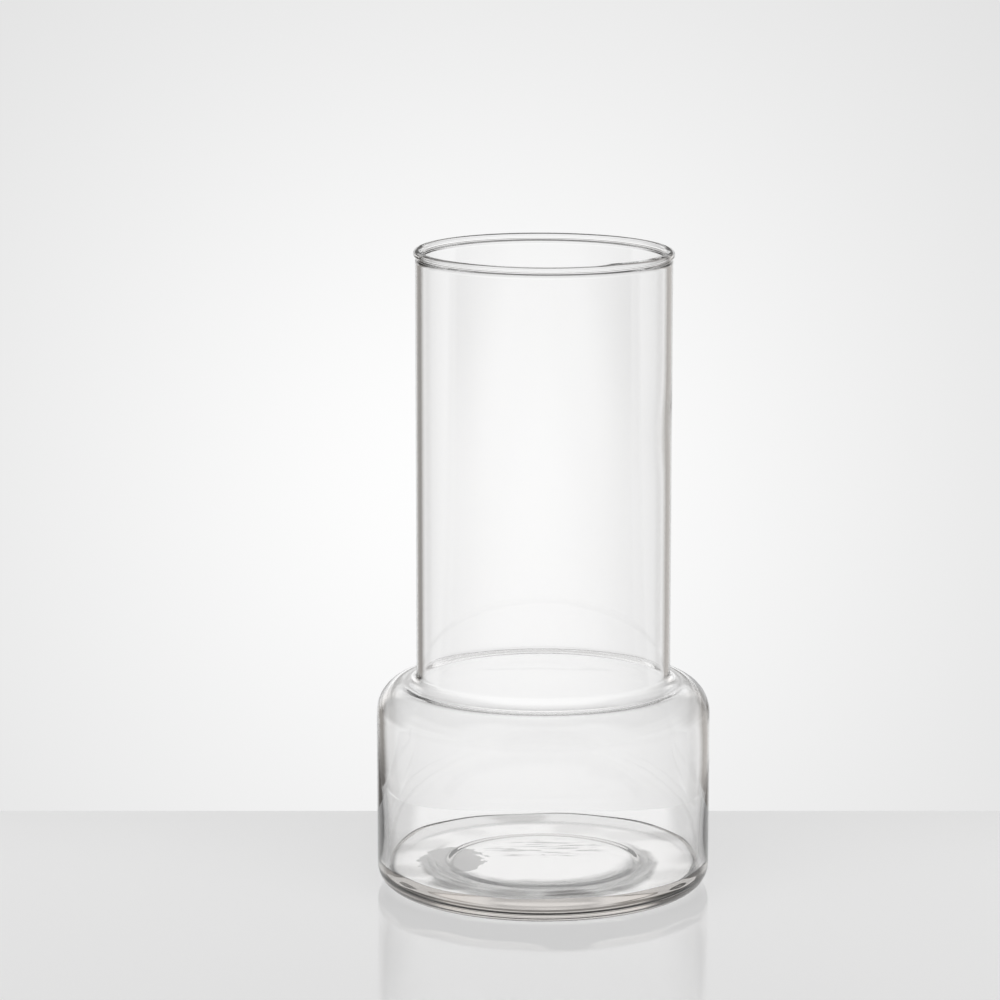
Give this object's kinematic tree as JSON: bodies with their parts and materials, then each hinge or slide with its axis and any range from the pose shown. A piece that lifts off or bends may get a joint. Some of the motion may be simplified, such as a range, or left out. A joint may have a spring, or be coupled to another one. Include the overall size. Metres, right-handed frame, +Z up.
{
  "type": "glass vase",
  "caption": "Clear blown-glass flower vase: a tall straight neck on a wider low round body, with a thick base and a rounded rim.",
  "frame": {"origin": "centre of the foot, on the surface that the vase stands on", "axes": "+Z up along the vase's axis, from the foot to the mouth; the vase is round, so +X and +Y are free"},
  "size_m": [0.13, 0.13, 0.25],
  "materials": {
    "clear_glass": "clear colourless soda-lime glass, smooth and fire-polished, with faint waviness from blowing"
  },
  "bodies": {
    "root": {"base": "clear_glass", "body_wall": "clear_glass", "shoulder": "clear_glass", "neck_wall": "clear_glass", "rim_bead": "clear_glass"}
  },
  "joints": []
}
